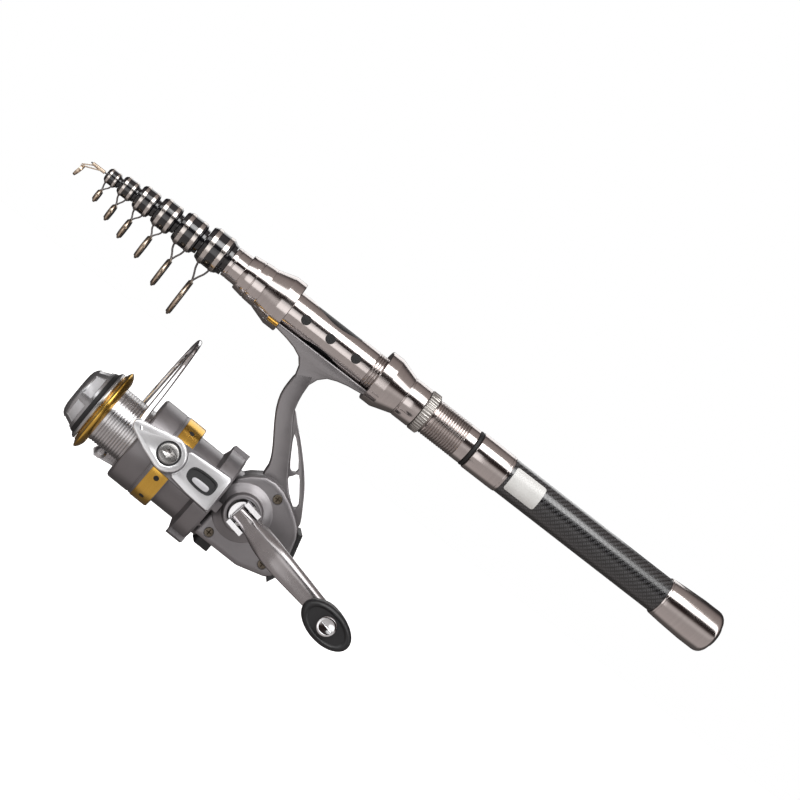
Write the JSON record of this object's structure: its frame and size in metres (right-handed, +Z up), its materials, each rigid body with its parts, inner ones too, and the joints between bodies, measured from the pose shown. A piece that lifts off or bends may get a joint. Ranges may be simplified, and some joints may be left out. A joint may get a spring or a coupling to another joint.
{
  "type": "fishing rod and reel",
  "caption": "Telescopic fishing rod closed to hand luggage length, with a skirted spinning reel clamped in its threaded seat.",
  "frame": {"origin": "centre of the flat butt end face", "axes": "+X along the rod from the butt to the tip, +Z up with the reel hanging below the rod, +Y on the crank side"},
  "size_m": [0.4262, 0.1263, 0.1508],
  "materials": {
    "carbon": "clear coated carbon weave",
    "gunmetal": "polished gunmetal anodising",
    "black_rubber": "matte",
    "blank_black": "gloss lacquer",
    "guide_metal": "pale champagne plating",
    "reel_paint": "satin silver grey paint on a moulding",
    "gold": "gold anodised",
    "bright": "bright plating",
    "crank_metal": "metallic lacquer",
    "black_plastic": "moulded",
    "steel": "machined",
    "brass_part": "machined",
    "gear_zinc": "die cast",
    "inner_plastic": "moulded"
  },
  "bodies": {
    "root": {"handle_tube": "carbon", "butt_cap": "gunmetal", "butt_plug": "black_rubber", "grip_front_ring": "gunmetal", "grip_o_ring": "black_rubber", "seat_barrel": "gunmetal", "seat_liner": "black_rubber", "front_hood": "gunmetal", "front_ferrule": "gunmetal", "reel_frame": "reel_paint", "side_cover": "reel_paint", "rear_cover": "black_plastic", "housing_screws": "steel", "drive_bearings": "steel", "pinion_bearing": "steel", "one_way_clutch": "steel"},
    "hood": {"rear_hood": "gunmetal", "hood_collar": "gunmetal"},
    "nut": {"locking_nut": "gunmetal"},
    "section_7": {"section_7": "blank_black", "guide_7": "guide_metal"},
    "section_6": {"section_6": "blank_black", "guide_6": "guide_metal"},
    "section_5": {"section_5": "blank_black", "guide_5": "guide_metal"},
    "section_4": {"section_4": "blank_black", "guide_4": "guide_metal"},
    "section_3": {"section_3": "blank_black", "guide_3": "guide_metal"},
    "section_2": {"section_2": "blank_black", "guide_2": "guide_metal"},
    "section_1": {"section_1": "blank_black", "guide_1": "guide_metal"},
    "crank": {"drive_gear": "gear_zinc", "handle_screw_cap": "bright", "crank_hinge": "bright", "crank_hinge_pin": "bright", "crank_arm": "crank_metal", "knob_spindle": "steel", "knob_cap": "bright"},
    "knob": {"crank_knob": "black_rubber"},
    "oscillator": {"oscillation_gear": "inner_plastic"},
    "rotor": {"rotor": "reel_paint", "rotor_nut": "steel", "pinion_gear": "brass_part", "arm_covers": "bright"},
    "bail": {"bail_lever": "bright", "roller_arm": "bright", "bail_wire": "bright", "bail_screws": "steel"},
    "roller": {"line_roller": "bright"},
    "shaft": {"main_shaft": "steel", "slider_block": "inner_plastic", "drag_washers": "inner_plastic"},
    "spool": {"spool": "reel_paint", "spool_lip_ring": "gold", "spool_skirt_band": "gold"},
    "drag": {"drag_knob": "reel_paint"},
    "anti_reverse": {"anti_reverse_switch": "black_plastic"}
  },
  "joints": [
    {"name": "hood_slide", "type": "slide", "parent": "root", "child": "hood", "axis": [1, 0, 0], "range_m": [-0.012, 0]},
    {"name": "nut_turn", "type": "hinge", "parent": "hood", "child": "nut", "pos_m": [0.2023, 0, 0], "axis": [1, 0, 0], "range_deg": [-2881, 0]},
    {"name": "section_7_slide", "type": "slide", "parent": "root", "child": "section_7", "axis": [1, 0, 0.0007], "range_m": [0, 0.282]},
    {"name": "section_6_slide", "type": "slide", "parent": "section_7", "child": "section_6", "axis": [1, 0, 0.0035], "range_m": [0, 0.282]},
    {"name": "section_5_slide", "type": "slide", "parent": "section_6", "child": "section_5", "axis": [1, 0, 0.0018], "range_m": [0, 0.282]},
    {"name": "section_4_slide", "type": "slide", "parent": "section_5", "child": "section_4", "axis": [1, 0, 0.0021], "range_m": [0, 0.282]},
    {"name": "section_3_slide", "type": "slide", "parent": "section_4", "child": "section_3", "axis": [1, 0, 0.0021], "range_m": [0, 0.282]},
    {"name": "section_2_slide", "type": "slide", "parent": "section_3", "child": "section_2", "axis": [1, 0, 0.0018], "range_m": [0, 0.282]},
    {"name": "section_1_slide", "type": "slide", "parent": "section_2", "child": "section_1", "axis": [1, 0, 0.0011], "range_m": [0, 0.282]},
    {"name": "crank_spin", "type": "hinge", "parent": "root", "child": "crank", "pos_m": [0.24783, 0, -0.1004], "axis": [0, 1, 0], "continuous": true},
    {"name": "knob_spin", "type": "hinge", "parent": "crank", "child": "knob", "pos_m": [0.18653, 0.065, -0.1126], "axis": [0, 1, 0], "continuous": true},
    {"name": "oscillation_gear_spin", "type": "hinge", "parent": "root", "child": "oscillator", "pos_m": [0.23384, 0.0045, -0.10083], "axis": [0, 1, 0], "continuous": true},
    {"name": "rotor_spin", "type": "hinge", "parent": "root", "child": "rotor", "pos_m": [0.27799, 0, -0.10508], "axis": [0.9995, 0, 0.0305], "continuous": true},
    {"name": "bail_flip", "type": "hinge", "parent": "rotor", "child": "bail", "pos_m": [0.29798, 0, -0.10447], "axis": [-0.0063, 0.9781, 0.2078], "range_deg": [0, 90]},
    {"name": "line_roller_spin", "type": "hinge", "parent": "bail", "child": "roller", "pos_m": [0.32562, -0.02426, -0.12515], "axis": [-0.0063, 0.9781, 0.2078], "continuous": true},
    {"name": "shaft_slide", "type": "slide", "parent": "root", "child": "shaft", "axis": [0.9995, 0, 0.0305], "range_m": [-0.014, 0]},
    {"name": "spool_slip", "type": "hinge", "parent": "shaft", "child": "spool", "pos_m": [0.31797, 0, -0.10386], "axis": [0.9995, 0, 0.0305], "continuous": true},
    {"name": "drag_turn", "type": "hinge", "parent": "shaft", "child": "drag", "pos_m": [0.34595, 0, -0.10301], "axis": [0.9995, 0, 0.0305], "range_deg": [-540, 180]},
    {"name": "anti_reverse_flip", "type": "hinge", "parent": "root", "child": "anti_reverse", "pos_m": [0.25561, 0, -0.12578], "axis": [-0.0305, 0, 0.9995], "range_deg": [0, 25]}
  ],
  "couplings": [
    {"joint": "nut_turn", "follows": "hood_slide", "rad_per_m": 4188.8},
    {"joint": "rotor_spin", "follows": "crank_spin", "ratio": 4.75},
    {"joint": "oscillation_gear_spin", "follows": "crank_spin", "ratio": -0.55556}
  ]
}
